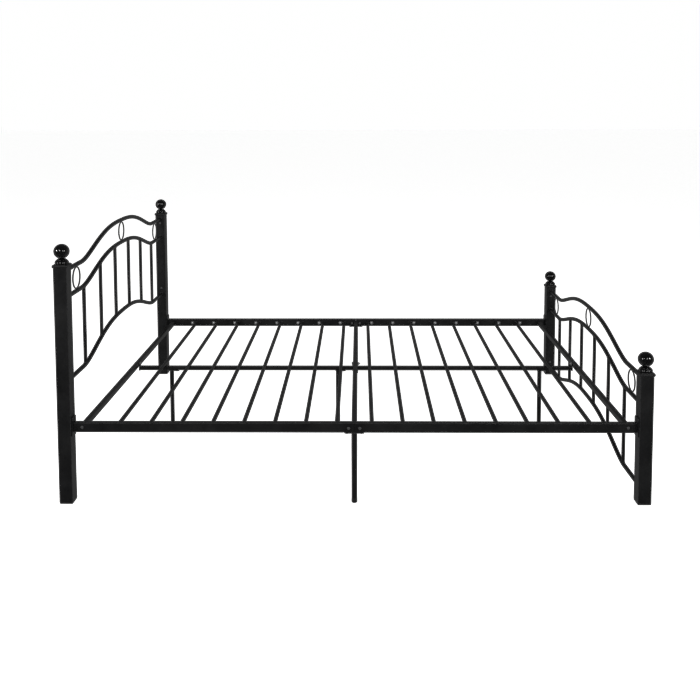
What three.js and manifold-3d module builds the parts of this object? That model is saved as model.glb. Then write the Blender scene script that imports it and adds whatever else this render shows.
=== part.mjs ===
// Metal bed frame: a black steel bedstead with an arched headboard and footboard.
//
// Millimetres, +Z up, the floor at Z = 0. X runs along the bed with the head at -X, and Y across it,
// with the origin on the floor at the middle of the bed. "Right" is the -Y side, the right hand of
// somebody lying in the bed, and "left" is the +Y side.
//
// Every piece of the bed is one mesh: posts, caps, finials, arches, spindles, rails, bars, slats, legs.
// Touching pieces keep GAP between them. Tubes whose ends are open are hollow.

import * as THREE from 'three';
import * as BufferGeometryUtils from 'three/addons/utils/BufferGeometryUtils.js';
import Module from 'manifold-3d';

const wasm = await Module();
wasm.setup();

// ---- Driving dimensions -------------------------------------------------------------------------

const GAP = 0.3;
const OVERLAP = 1;

const CLEAR_LENGTH = 2040;
const POST_SPREAD = 1550;
const POST = 48;
const POST_CORNER = 3;
const POST_WALL = 1.5;
const POST_FOOT = 5;

const HEAD_CAP_TOP = 876;
const FOOT_CAP_TOP = 485;
const CAP_SIDE = 56;
const CAP_THICK = 12;
const CAP_ROUND = 4;
const CAP_SPIGOT_DEPTH = 14;

const BALL_RADIUS = 27;
const BALL_FLATTENING = 0.952;
const BALL_CENTRE = 44.5;
const BALL_ARCS = 7;
const NECK_RADIUS = 9.8;
// The dish's outline as [radius, height above the cap], from its underside up to the neck.
const DISH_OUTLINE = [[0, 0], [22.5, 0], [24, 2], [23.8, 5], [22.7, 8.6], [19.5, 12.2], [14.4, 15.7]];

const ARCH_RADIUS = 8;
const ARCH_RISE = 90;
const ARCH_HALF_SPAN = 560;
const ARCH_CROWN_POWER = 2.6;
const ARCH_FOOT_POWER = 1.8;
const HEAD_PANEL_BASE = 440;
const FOOT_PANEL_BASE = 47;
const MIDDLE_ARCH_LIFT = 307;
const TOP_ARCH_LIFT = 406;

const RING_WIRE_RADIUS = 2;
const RING_OFFSET = 622;
const RING_WELD = 1;

const SPINDLE_RADIUS = 6;
const SPINDLES_PER_PANEL = 6;
const SPINDLE_PITCH = 216;

const RAIL_TOP = 297;
const RAIL_HEIGHT = 35;
const RAIL_WIDTH = 20;
const RAIL_CORNER = 3;
const RAIL_WALL = 1.5;
const HOOK_PLATE = { thick: 4, width: 40, low: 247.5, high: 317.5 };

const BAR_SIDE = 18;
const BAR_CORNER = 2;
const BAR_WALL = 1.5;
const BAR_HEIGHT = 279.5;
const END_BAR_OFFSET = 984;

const SLAT_RADIUS = 7;
const SLAT_HEIGHT = 277.3;
const SLATS_PER_HALF = 8;
const FIRST_SLAT = 64;
const SLAT_PITCH = 114;
const SLAT_TAB = { thick: 3, inward: 11, outward: 30, low: 270.3, high: 289 };

const MIDDLE_RAIL_SIDE = 16;
const MIDDLE_RAIL_TOP = 270;
const UPRIGHT_PLATE = { thick: 3, width: 22, low: 252, high: 288 };
const DRAIN_HOLE_RADIUS = 3;
const DRAIN_HOLE_INSET = 40;

const MIDDLE_LEG_RADIUS = 8;
const MIDDLE_LEG_STATIONS = { head: -829, centre: -78, foot: 829 };
const LEG_PLATE = { thick: 3, back: 10, front: 34, width: 18 };

const SIDE_LEG_RADIUS = 9.5;
const JOINT_BRACKET = { thick: 3, halfLength: 35, high: 290 };

// ---- Places worked out from the dimensions ------------------------------------------------------

const POST_X = CLEAR_LENGTH / 2 + POST / 2;
const POST_Y = POST_SPREAD / 2;
const RAIL_INNER_Y = POST_Y - RAIL_WIDTH / 2;
const RAIL_BOTTOM = RAIL_TOP - RAIL_HEIGHT;
const ARCH_END = POST_Y - POST / 2 - GAP;

const ENDS = { head: -1, foot: 1 };
const SIDES = { right: -1, left: 1 };

// Facets round a tube, a wire, a hole and a turned piece, along an arch and a ring, and over a corner.
const TUBE_SIDES = 12;
const ARCH_SIDES = 10;
const ARCH_STEPS = 30;
const WIRE_SIDES = 6;
const HOLE_SIDES = 8;
const RING_STEPS = 16;
const TURNED_SIDES = 16;
const CORNER_FACETS = 2;
const LEAST_CORNER = 0.5;

// ---- Finishes -----------------------------------------------------------------------------------

function satinBlackSteel() {
  return new THREE.MeshStandardMaterial({ color: 0x18181a, roughness: 0.42, metalness: 0.3 });
}

function satinBlackPlastic() {
  return new THREE.MeshStandardMaterial({ color: 0x151516, roughness: 0.5, metalness: 0 });
}

function glossBlackPlastic() {
  return new THREE.MeshStandardMaterial({ color: 0x0d0d0e, roughness: 0.12, metalness: 0 });
}

// ---- Solids and booleans ------------------------------------------------------------------------

function toSolid(geometry) {
  const bare = geometry.index ? geometry.toNonIndexed() : geometry.clone();
  bare.deleteAttribute('normal');
  bare.deleteAttribute('uv');
  const merged = BufferGeometryUtils.mergeVertices(bare, 1e-3);
  return new wasm.Manifold(new wasm.Mesh({
    numProp: 3,
    vertProperties: new Float32Array(merged.attributes.position.array),
    triVerts: new Uint32Array(merged.index.array),
  }));
}

function toGeometry(solid) {
  const mesh = solid.getMesh();
  const geometry = new THREE.BufferGeometry();
  geometry.setAttribute('position', new THREE.BufferAttribute(mesh.vertProperties, 3));
  geometry.setIndex(new THREE.BufferAttribute(mesh.triVerts, 1));
  geometry.computeVertexNormals();
  return geometry;
}

function unite(...solids) {
  return solids.reduce((whole, piece) => whole.add(piece));
}

// A box between two corners.
function box(low, high) {
  const size = new THREE.Vector3(...high).sub(new THREE.Vector3(...low));
  const geometry = new THREE.BoxGeometry(size.x, size.y, size.z);
  geometry.translate(low[0] + size.x / 2, low[1] + size.y / 2, low[2] + size.z / 2);
  return toSolid(geometry);
}

// An upright round bar between two heights.
function roundUpright(x, y, low, high, radius, sides = TUBE_SIDES) {
  const geometry = new THREE.CylinderGeometry(radius, radius, high - low, sides);
  geometry.rotateX(Math.PI / 2);
  geometry.translate(x, y, (low + high) / 2);
  return toSolid(geometry);
}

// A round bar lying along Y, centred on the plane Y = 0.
function roundAcross(x, z, length, radius) {
  const geometry = new THREE.CylinderGeometry(radius, radius, length, TUBE_SIDES);
  geometry.translate(x, 0, z);
  return toSolid(geometry);
}

function roundedRectangle(width, height, corner) {
  const x = width / 2;
  const y = height / 2;
  const shape = new THREE.Shape();
  shape.moveTo(-x + corner, -y);
  shape.lineTo(x - corner, -y);
  shape.absarc(x - corner, -y + corner, corner, -Math.PI / 2, 0);
  shape.lineTo(x, y - corner);
  shape.absarc(x - corner, y - corner, corner, 0, Math.PI / 2);
  shape.lineTo(-x + corner, y);
  shape.absarc(-x + corner, y - corner, corner, Math.PI / 2, Math.PI);
  shape.lineTo(-x, -y + corner);
  shape.absarc(-x + corner, -y + corner, corner, Math.PI, Math.PI * 1.5);
  return shape;
}

// A rounded rectangular bar standing on Z = 0.
function rectangularBar(width, height, corner, length) {
  const shape = roundedRectangle(width, height, corner);
  const geometry = new THREE.ExtrudeGeometry(shape, {
    depth: length,
    bevelEnabled: false,
    curveSegments: CORNER_FACETS,
  });
  return toSolid(geometry);
}

// A rectangular tube standing on Z = 0 and open at both ends.
function rectangularTube(width, height, corner, wall, length) {
  const innerCorner = Math.max(corner - wall, LEAST_CORNER);
  const bore = rectangularBar(width - 2 * wall, height - 2 * wall, innerCorner, length + 2 * OVERLAP);
  return rectangularBar(width, height, corner, length).subtract(bore.translate([0, 0, -OVERLAP]));
}

// ---- Posts, caps and finials --------------------------------------------------------------------

// A square tube, closed at the floor and open at the top for the cap's spigot.
function post(capTop) {
  const height = capTop - CAP_THICK - GAP;
  const inside = POST - 2 * POST_WALL;
  const bore = rectangularBar(inside, inside, POST_CORNER - POST_WALL, height);
  return rectangularBar(POST, POST, POST_CORNER, height).subtract(bore.translate([0, 0, POST_FOOT]));
}

// A square moulded lid with a rounded lip that overhangs the post, and a spigot that drops into it.
function cap(capTop) {
  const flat = CAP_SIDE - 2 * CAP_ROUND;
  const lid = new THREE.ExtrudeGeometry(roundedRectangle(flat, flat, POST_CORNER), {
    depth: CAP_THICK - 2 * CAP_ROUND,
    bevelThickness: CAP_ROUND,
    bevelSize: CAP_ROUND,
    bevelSegments: CORNER_FACETS,
    curveSegments: CORNER_FACETS,
  });
  lid.translate(0, 0, capTop - CAP_THICK + CAP_ROUND);
  const spigotSide = POST - 2 * POST_WALL - 2 * GAP;
  const spigotHeight = CAP_SPIGOT_DEPTH + OVERLAP;
  const spigot = rectangularBar(spigotSide, spigotSide, POST_CORNER - POST_WALL, spigotHeight);
  return toSolid(lid).add(spigot.translate([0, 0, capTop - CAP_THICK - CAP_SPIGOT_DEPTH]));
}

// A slightly flattened ball on a narrow neck above a round dish, turned about Z, standing on the cap.
function finial(capTop) {
  const rise = BALL_RADIUS * BALL_FLATTENING;
  const start = Math.asin(NECK_RADIUS / BALL_RADIUS);
  const profile = DISH_OUTLINE.map(([radius, height]) => new THREE.Vector2(radius, height));
  for (let i = 0; i <= BALL_ARCS; i += 1) {
    const angle = start + ((Math.PI - start) * i) / BALL_ARCS;
    const radius = i === BALL_ARCS ? 0 : BALL_RADIUS * Math.sin(angle);
    profile.push(new THREE.Vector2(radius, BALL_CENTRE - rise * Math.cos(angle)));
  }
  const turned = new THREE.LatheGeometry(profile, TURNED_SIDES);
  turned.rotateX(Math.PI / 2);
  turned.translate(0, 0, capTop + GAP);
  return toSolid(turned);
}

// ---- Headboard and footboard panels -------------------------------------------------------------

// Height of an arched tube's axis above its flat ends: level near the posts, then a smooth hump whose
// crown is broad and whose feet blend into the level ends.
function archRise(y) {
  const u = Math.min(Math.abs(y) / ARCH_HALF_SPAN, 1);
  return ARCH_RISE * (1 - u ** ARCH_CROWN_POWER) ** ARCH_FOOT_POWER;
}

class ArchLine extends THREE.Curve {
  constructor(x, base) {
    super();
    this.x = x;
    this.base = base;
  }

  getPoint(t, target = new THREE.Vector3()) {
    const y = THREE.MathUtils.lerp(-ARCH_END, ARCH_END, t);
    return target.set(this.x, y, this.base + archRise(y));
  }
}

// An ellipse curve is drawn with twice its curveSegments.
function archTube(x, base, radius = ARCH_RADIUS) {
  const section = new THREE.Shape().absarc(0, 0, radius, 0, Math.PI * 2);
  const geometry = new THREE.ExtrudeGeometry(section, {
    steps: ARCH_STEPS,
    curveSegments: ARCH_SIDES / 2,
    extrudePath: new ArchLine(x, base),
  });
  return toSolid(geometry);
}

// A wire ring standing on the middle arch and reaching up to the top one.
function ring(x, y, middleBase) {
  const room = TOP_ARCH_LIFT - MIDDLE_ARCH_LIFT - 2 * ARCH_RADIUS;
  const outerRadius = (room + RING_WELD - 2 * GAP) / 2;
  const geometry = new THREE.TorusGeometry(
    outerRadius - RING_WIRE_RADIUS, RING_WIRE_RADIUS, WIRE_SIDES, RING_STEPS);
  geometry.rotateY(Math.PI / 2);
  geometry.translate(x, y, middleBase + archRise(y) + ARCH_RADIUS - RING_WELD + outerRadius);
  return toSolid(geometry);
}

function middleArchWithRings(x, base) {
  const rings = [-RING_OFFSET, 0, RING_OFFSET].map((y) => ring(x, y, base));
  return unite(archTube(x, base), ...rings);
}

// A round upright between the bottom and the middle arch, coped at each end to fit round the tube.
function spindle(x, y, panelBase) {
  const low = panelBase + archRise(y);
  const arches = [panelBase, panelBase + MIDDLE_ARCH_LIFT].map((base) => archTube(
    x, base, ARCH_RADIUS + GAP));
  return roundUpright(x, y, low, low + MIDDLE_ARCH_LIFT, SPINDLE_RADIUS).subtract(unite(...arches));
}

// ---- Rails and bars -----------------------------------------------------------------------------

// Half a side rail: a rectangular tube open at the centre joint, with the hook plate on its post end.
function halfSideRail(end, side) {
  const plate = HOOK_PLATE;
  const outer = CLEAR_LENGTH / 2 - GAP;
  const tubeLength = outer - plate.thick + OVERLAP - GAP;
  const tube = rectangularTube(RAIL_HEIGHT, RAIL_WIDTH, RAIL_CORNER, RAIL_WALL, tubeLength)
    .rotate([0, 90, 0])
    .translate([GAP, 0, RAIL_TOP - RAIL_HEIGHT / 2]);
  const hookPlate = box(
    [outer - plate.thick, -plate.width / 2, plate.low],
    [outer, plate.width / 2, plate.high]);
  const rail = tube.add(hookPlate);
  return (end < 0 ? rail.rotate([0, 0, 180]) : rail).translate([0, side * POST_Y, 0]);
}

// A square tube across the bed between the two side rails, shortened at each end where it meets a
// bracket.
function crossBar(x, shortening = 0) {
  const length = 2 * (RAIL_INNER_Y - GAP - shortening);
  return rectangularTube(BAR_SIDE, BAR_SIDE, BAR_CORNER, BAR_WALL, length)
    .rotate([90, 0, 0])
    .translate([x, length / 2, BAR_HEIGHT]);
}

// Half the middle rail: a square tube under the slats with an upright plate on each end, which bolts to
// a cross bar. Two drain holes in its underside open the tube.
function halfMiddleRail(end) {
  const plate = UPRIGHT_PLATE;
  const start = BAR_SIDE / 2 + GAP;
  const finish = END_BAR_OFFSET - BAR_SIDE / 2 - GAP;
  const height = MIDDLE_RAIL_TOP - MIDDLE_RAIL_SIDE / 2;
  const tube = rectangularTube(MIDDLE_RAIL_SIDE, MIDDLE_RAIL_SIDE, BAR_CORNER, BAR_WALL,
    finish - start - 2 * OVERLAP)
    .rotate([0, 90, 0])
    .translate([start + OVERLAP, 0, height]);
  const plates = [start, finish - plate.thick].map((x) => box(
    [x, -plate.width / 2, plate.low], [x + plate.thick, plate.width / 2, plate.high]));
  const drains = [start + DRAIN_HOLE_INSET, finish - DRAIN_HOLE_INSET].map((x) => roundUpright(
    x, 0, MIDDLE_RAIL_TOP - MIDDLE_RAIL_SIDE - OVERLAP, height, DRAIN_HOLE_RADIUS, HOLE_SIDES));
  const rail = unite(tube, ...plates).subtract(unite(...drains));
  return end < 0 ? rail.rotate([0, 0, 180]) : rail;
}

// A round slat with a flat tab across each end. The tab lies against the side rail and reaches past the
// slat towards the nearer post, where its screw goes.
function slat(x) {
  const tab = SLAT_TAB;
  const outward = Math.sign(x);
  const tabFace = RAIL_INNER_Y - GAP;
  const across = [x - outward * tab.inward, x + outward * tab.outward];
  const bar = roundAcross(x, SLAT_HEIGHT, 2 * (tabFace - tab.thick + OVERLAP), SLAT_RADIUS);
  const tabs = Object.values(SIDES).map((side) => {
    const faces = [side * tabFace, side * (tabFace - tab.thick)];
    return box(
      [Math.min(...across), Math.min(...faces), tab.low],
      [Math.max(...across), Math.max(...faces), tab.high]);
  });
  return unite(bar, ...tabs);
}

// ---- Legs ---------------------------------------------------------------------------------------

// A round leg with a plate on top that bolts up against the middle rail, beside the leg.
function middleLeg(x) {
  const plate = LEG_PLATE;
  const top = MIDDLE_RAIL_TOP - MIDDLE_RAIL_SIDE - GAP;
  const leg = roundUpright(x, 0, 0, top - plate.thick + OVERLAP, MIDDLE_LEG_RADIUS);
  const topPlate = box(
    [x - plate.back, -plate.width / 2, top - plate.thick],
    [x + plate.front, plate.width / 2, top]);
  return leg.add(topPlate);
}

// A round leg under the joint of a side rail's halves, welded to the angle bracket that joins them: one
// flange under the rail and one against its inner face.
function sideLeg(side) {
  const bracket = JOINT_BRACKET;
  const flangeTop = RAIL_BOTTOM - GAP;
  const flangeLow = flangeTop - bracket.thick;
  const innerFace = -RAIL_WIDTH / 2 - GAP;
  const leg = roundUpright(0, 0, 0, flangeLow + OVERLAP, SIDE_LEG_RADIUS);
  const underFlange = box(
    [-bracket.halfLength, innerFace - bracket.thick, flangeLow],
    [bracket.halfLength, RAIL_WIDTH / 2, flangeTop]);
  const innerFlange = box(
    [-bracket.halfLength, innerFace - bracket.thick, flangeLow],
    [bracket.halfLength, innerFace, bracket.high]);
  const whole = unite(leg, underFlange, innerFlange);
  return (side < 0 ? whole.rotate([0, 0, 180]) : whole).translate([0, side * POST_Y, 0]);
}

// ---- The bed ------------------------------------------------------------------------------------

const bed = new THREE.Group();

function addPiece(name, solid, material) {
  const mesh = new THREE.Mesh(toGeometry(solid), material());
  mesh.name = name;
  bed.add(mesh);
}

function addCorner(end, side, capTop) {
  const place = [ENDS[end] * POST_X, SIDES[side] * POST_Y, 0];
  addPiece(`post_${end}_${side}`, post(capTop).translate(place), satinBlackSteel);
  addPiece(`cap_${end}_${side}`, cap(capTop).translate(place), satinBlackPlastic);
  addPiece(`finial_${end}_${side}`, finial(capTop).translate(place), glossBlackPlastic);
}

function addPanel(end, base) {
  const x = ENDS[end] * POST_X;
  addPiece(`${end}_arch_bottom`, archTube(x, base), satinBlackSteel);
  addPiece(`${end}_arch_middle`, middleArchWithRings(x, base + MIDDLE_ARCH_LIFT), satinBlackSteel);
  addPiece(`${end}_arch_top`, archTube(x, base + TOP_ARCH_LIFT), satinBlackSteel);
  for (let i = 0; i < SPINDLES_PER_PANEL; i += 1) {
    const y = (i - (SPINDLES_PER_PANEL - 1) / 2) * SPINDLE_PITCH;
    addPiece(`${end}_spindle_${i + 1}`, spindle(x, y, base), satinBlackSteel);
  }
}

function addSlats() {
  for (let i = 0; i < SLATS_PER_HALF; i += 1) {
    const x = FIRST_SLAT + i * SLAT_PITCH;
    const number = String(i + 1).padStart(2, '0');
    addPiece(`slat_head_${number}`, slat(-x), satinBlackSteel);
    addPiece(`slat_foot_${number}`, slat(x), satinBlackSteel);
  }
}

for (const side of Object.keys(SIDES)) {
  addCorner('head', side, HEAD_CAP_TOP);
  addCorner('foot', side, FOOT_CAP_TOP);
  addPiece(`side_rail_head_${side}`, halfSideRail(ENDS.head, SIDES[side]), satinBlackSteel);
  addPiece(`side_rail_foot_${side}`, halfSideRail(ENDS.foot, SIDES[side]), satinBlackSteel);
  addPiece(`side_leg_${side}`, sideLeg(SIDES[side]), satinBlackSteel);
}

addPanel('head', HEAD_PANEL_BASE);
addPanel('foot', FOOT_PANEL_BASE);

addPiece('cross_bar_head', crossBar(-END_BAR_OFFSET), satinBlackSteel);
addPiece('cross_bar_centre', crossBar(0, JOINT_BRACKET.thick + GAP), satinBlackSteel);
addPiece('cross_bar_foot', crossBar(END_BAR_OFFSET), satinBlackSteel);

addPiece('middle_rail_head', halfMiddleRail(ENDS.head), satinBlackSteel);
addPiece('middle_rail_foot', halfMiddleRail(ENDS.foot), satinBlackSteel);
for (const [name, x] of Object.entries(MIDDLE_LEG_STATIONS)) {
  addPiece(`middle_leg_${name}`, middleLeg(x), satinBlackSteel);
}

addSlats();

export default bed;
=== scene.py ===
"""A black steel bed frame: arched headboard and footboard, corner posts, rails, slats and legs.

Each sub-assembly is a class. Its sizes are fields in metres, and its methods work out closed surfaces
with numpy and dress them in their finish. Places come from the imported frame, whose head end is at -X,
whose right side is at -Y, and whose floor is Z = 0.
"""

import logging
from collections.abc import Sequence
from dataclasses import dataclass, field
from enum import Enum
from math import radians

import bpy
import numpy as np
from mathutils import Matrix, Vector
from numpy.typing import NDArray

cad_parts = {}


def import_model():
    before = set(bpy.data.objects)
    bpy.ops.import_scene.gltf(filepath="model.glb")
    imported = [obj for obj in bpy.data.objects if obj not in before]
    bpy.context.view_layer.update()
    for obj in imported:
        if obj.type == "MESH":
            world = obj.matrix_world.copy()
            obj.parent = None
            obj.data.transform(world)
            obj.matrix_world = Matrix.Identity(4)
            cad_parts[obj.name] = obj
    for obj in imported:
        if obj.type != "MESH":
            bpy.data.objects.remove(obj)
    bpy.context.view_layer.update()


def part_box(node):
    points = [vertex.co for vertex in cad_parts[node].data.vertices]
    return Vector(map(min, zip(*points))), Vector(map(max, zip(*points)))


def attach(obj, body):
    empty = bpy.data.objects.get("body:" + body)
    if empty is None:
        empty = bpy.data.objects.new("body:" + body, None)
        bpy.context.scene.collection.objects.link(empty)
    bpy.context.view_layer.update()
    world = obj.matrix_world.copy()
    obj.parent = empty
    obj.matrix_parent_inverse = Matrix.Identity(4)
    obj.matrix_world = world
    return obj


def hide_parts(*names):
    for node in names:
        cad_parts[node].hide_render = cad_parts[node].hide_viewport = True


Array = NDArray[np.float64]
Colour = tuple[float, float, float]
Socket = bpy.types.NodeSocket

LOG = logging.getLogger("bed")
BODY = "root"
# Point attribute for paler edges: partly wear, partly a painted edge highlight.
WEAR_AND_SHEEN_ATTRIBUTE = "edge_wear_sheen"
SMOOTH_ANGLE = radians(40)
TOUCH = 0.0003


# ---- Named choices ---------------------------------------------------------------------------------


class Run(Enum):
    """The way a piece's own length points. The value is how far its local axes are cycled."""

    UP = 0
    ALONG = 1
    ACROSS = 2


class End(Enum):
    """An end of the bed, with the side of X = 0 that it stands on."""

    HEAD = -1
    FOOT = 1

    @property
    def word(self) -> str:
        """The end's word in names."""
        return self.name.lower()


class Side(Enum):
    """A side of the bed, with the side of Y = 0 that it stands on."""

    RIGHT = -1
    LEFT = 1

    @property
    def word(self) -> str:
        """The side's word in names."""
        return self.name.lower()


class Slot(Enum):
    """Names of the material slots."""

    COAT = "powder_coat"
    PLASTIC = "moulded_plastic"
    GLOSS = "finial_gloss"
    ZINC = "zinc_screw"


# ---- Surfaces --------------------------------------------------------------------------------------


@dataclass(frozen=True)
class Shell:
    """A closed surface: its points, its faces, and a mask from 0 to 1 by which each point is drawn paler,
    partly for wear and partly as a painted edge highlight.
    """

    points: Array
    faces: list[list[int]]
    edge_wear_sheen: Array


def skin(loops: Array, edge_wear_sheen: Array | float = 0.0, joined: bool = False,
         poles: tuple[Array | None, Array | None] = (None, None)) -> Shell:
    """Closes a stack of loops into one surface.

    Point (i, j) is the j-th point of the i-th loop. Four-sided faces join each loop to the next. A
    joined stack also runs from its last loop into its first, and any other is closed by a fan of
    triangles at each end, from a pole that is the end loop's mean unless it is given.

    Args:
        loops: Points of shape (rows, count, 3), each loop turning anticlockwise about its travel.
        edge_wear_sheen: Mask for paler edges, partly wear and partly a painted highlight, of shape (rows,
            count), or one value.
        joined: Whether the stack closes on itself.
        poles: The points that close the first and the last loop.

    Returns:
        The closed surface.
    """
    rows, count, _ = loops.shape
    index = np.arange(rows * count).reshape(rows, count)
    here = index if joined else index[:-1]
    after = np.roll(index, -1, axis=0)[: len(here)]
    quads = np.stack([here, np.roll(here, -1, 1), np.roll(after, -1, 1), after], axis=-1)
    points = loops.reshape(-1, 3)
    faces = quads.reshape(-1, 4).tolist()
    wear_and_sheen = np.broadcast_to(edge_wear_sheen, (rows, count)).astype(float)
    if joined:
        return Shell(points, faces, wear_and_sheen.ravel())
    start = loops[0].mean(0) if poles[0] is None else poles[0]
    finish = loops[-1].mean(0) if poles[1] is None else poles[1]
    first, last = index[0], index[-1]
    low = np.full(count, rows * count)
    faces += np.stack([low, np.roll(first, -1), first], axis=-1).tolist()
    faces += np.stack([low + 1, last, np.roll(last, -1)], axis=-1).tolist()
    ends = np.array([wear_and_sheen[0].mean(), wear_and_sheen[-1].mean()])
    return Shell(np.vstack([points, start, finish]), faces, np.concatenate([wear_and_sheen.ravel(), ends]))


def placed(local: Array, run: Run, origin: Sequence[float], sense: int = 1) -> Array:
    """Lays local points, whose third axis is their length, along a run.

    The axes are cycled until the third one is the run's, then the origin is added. A sense of -1
    first turns the points end for end about their second axis.

    Args:
        local: Points whose last axis holds the three measures.
        run: The direction of the length.
        origin: Where the local origin goes.
        sense: 1 or -1.

    Returns:
        The points in the bed's frame.
    """
    return np.roll(local * np.array([sense, 1, sense]), run.value, axis=-1) + np.array(origin, float)


def rounded_ends(length: float, edge: float, steps: int = 3) -> tuple[Array, Array]:
    """Stations along a bar whose two ends are rounded over, and how far the bar draws in at each.

    As t goes from 0 to a right angle the station is edge(1 - cos t) and the inset edge(1 - sin t).
    A flat ring inside each end and a straight band beyond each edge keep the shading true.

    Args:
        length: The bar's length.
        edge: The radius of its end edges.
        steps: Facets in each rounded edge.

    Returns:
        The stations and the insets, one for each loop.
    """
    t = np.linspace(0, np.pi / 2, steps + 1)
    station = np.concatenate([[0], edge * (1 - np.cos(t)), [2 * edge]])
    inset = np.concatenate([[2 * edge], edge * (1 - np.sin(t)), [0]])
    return (np.concatenate([station, length - station[::-1]]), np.concatenate([inset, inset[::-1]]))


def square_loops(width: Array | float, depth: Array | float, corner: Array | float, station: Array,
                 steps: int = 4) -> tuple[Array, Array]:
    """Rounded rectangles, one for each station.

    Each corner is a quarter circle about a centre that lies one corner radius in from both sides. A
    short straight piece at each end of the quarter keeps the flats flat in shading.

    Args:
        width: First measure of each loop.
        depth: Second measure of each loop.
        corner: Corner radius of each loop.
        station: Place of each loop along the third axis.
        steps: Facets in each corner.

    Returns:
        The loops, of shape (rows, count, 3), and a mask of their points, highest at the corners, by which the
        finishes paint paler edges: partly wear, partly a painted highlight.
    """
    width, depth, corner, station = np.broadcast_arrays(width, depth, corner, station)
    t = np.linspace(0, np.pi / 2, steps + 1)
    unit = np.vstack([[1, 0], np.stack([np.cos(t), np.sin(t)], -1), [0, 1]])
    band = np.zeros_like(unit)
    band[0], band[-1] = (0, -1), (-1, 0)
    # Mask for paler corners, highest mid-corner: partly wear, partly a painted edge highlight.
    edge_wear_sheen = np.concatenate([[0], np.sin(2 * t), [0]])
    quarter = corner[:, None, None] * unit + (0.4 * corner)[:, None, None] * band
    turns = [np.array([[1, 0], [0, 1]]), np.array([[0, 1], [-1, 0]]),
             np.array([[-1, 0], [0, -1]]), np.array([[0, -1], [1, 0]])]
    signs = np.array([(1, 1), (-1, 1), (-1, -1), (1, -1)])
    half = np.stack([width / 2 - corner, depth / 2 - corner], -1)
    corners = [half[:, None] * sign + quarter @ turn for sign, turn in zip(signs, turns)]
    flat = np.concatenate(corners, axis=1)
    height = np.broadcast_to(station[:, None, None], (*flat.shape[:2], 1))
    return np.concatenate([flat, height], -1), np.tile(edge_wear_sheen, (len(station), 4))


def square_bar(width: float, depth: float, corner: float, length: float, edge: float, run: Run,
               origin: Sequence[float]) -> Shell:
    """A rounded rectangular bar with softened end edges.

    Its loops are the rounded rectangle, drawn in at each end by the rounded end's inset.

    Args:
        width: First measure of the section.
        depth: Second measure of the section.
        corner: Corner radius of the section.
        length: Length of the bar.
        edge: Radius of the end edges.
        run: Direction of the length.
        origin: Middle of the starting end.

    Returns:
        The closed bar.
    """
    station, inset = rounded_ends(length, edge)
    radius = np.maximum(corner - inset, 0.15 * corner)
    loops, edge_wear_sheen = square_loops(width - 2 * inset, depth - 2 * inset, radius, station)
    return skin(placed(loops, run, origin), edge_wear_sheen)


def turned(profile: Array, sides: int, run: Run, origin: Sequence[float], sense: int = 1) -> Shell:
    """A turned shape: a profile of (radius, height) swept round the run.

    Point (i, j) is the i-th profile point turned by the j-th share of a full circle.

    Args:
        profile: Radius and height of each ring, from the start to the finish.
        sides: Points round each ring.
        run: Direction of the axis.
        origin: Where height 0 of the axis goes.
        sense: -1 turns the shape end for end.

    Returns:
        The closed shape.
    """
    angle = np.linspace(0, 2 * np.pi, sides, endpoint=False)
    ring = np.stack([np.cos(angle), np.sin(angle)], -1)
    flat = profile[:, :1, None] * ring[None]
    height = np.broadcast_to(profile[:, 1, None, None], (*flat.shape[:2], 1))
    return skin(placed(np.concatenate([flat, height], -1), run, origin, sense))


def piped(path: Array, radius: Array | float, beside: Sequence[float], sides: int,
          joined: bool = False) -> Shell:
    """A round section carried along a path that lies in one plane.

    Each loop is the path point plus the radius times (cos a) N + (sin a) B, where B is the unit
    normal of the plane and N is B crossed with the path's direction.

    Args:
        path: Points of shape (rows, 3).
        radius: Radius at each point, or one radius.
        beside: The plane's unit normal.
        sides: Points round each loop.
        joined: Whether the path is a closed ring.

    Returns:
        The closed pipe.
    """
    if joined:
        forward = np.roll(path, -1, 0) - np.roll(path, 1, 0)
    else:
        forward = np.gradient(path, axis=0)
    forward /= np.linalg.norm(forward, axis=1, keepdims=True)
    across = np.array(beside, float)
    outward = np.cross(across, forward)
    angle = np.linspace(0, 2 * np.pi, sides, endpoint=False)[None, :, None]
    size = np.broadcast_to(radius, (len(path),))[:, None, None]
    section = np.cos(angle) * outward[:, None] + np.sin(angle) * across
    return skin(path[:, None] + size * section, joined=joined)


def piece(name: str, shells: Sequence[Shell], finish: "Finish", *nodes: str) -> bpy.types.Object:
    """Puts closed surfaces into one mesh object, dresses it and rides it on the bed.

    Args:
        name: The piece's name.
        shells: Its closed surfaces.
        finish: What it is finished in.
        nodes: The frame's nodes that it stands for.

    Returns:
        The new object.
    """
    offsets = np.cumsum([0, *(len(shell.points) for shell in shells)])
    faces = [[corner + shift for corner in face] for shell, shift in zip(shells, offsets.tolist())
             for face in shell.faces]
    mesh = bpy.data.meshes.new(name)
    mesh.from_pydata(np.vstack([shell.points for shell in shells]).tolist(), [], faces)
    # Stores the mask for paler edges, partly wear and partly a painted highlight.
    edge_wear_sheen = mesh.attributes.new(WEAR_AND_SHEEN_ATTRIBUTE, "FLOAT", "POINT")
    edge_wear_sheen.data.foreach_set("value", np.concatenate([shell.edge_wear_sheen for shell in shells]).astype(np.float32))
    mesh.shade_smooth()
    mesh.set_sharp_from_angle(angle=SMOOTH_ANGLE)
    mesh.materials.append(finish.material())
    made = bpy.data.objects.new(name, mesh)
    bpy.context.scene.collection.objects.link(made)
    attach(made, BODY)
    if nodes:
        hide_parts(*nodes)
    LOG.info("%s: %d points, %d faces, stands for %s", name, len(mesh.vertices), len(mesh.polygons),
             ", ".join(nodes) or "no node")
    return made


# ---- Finishes --------------------------------------------------------------------------------------


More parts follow.
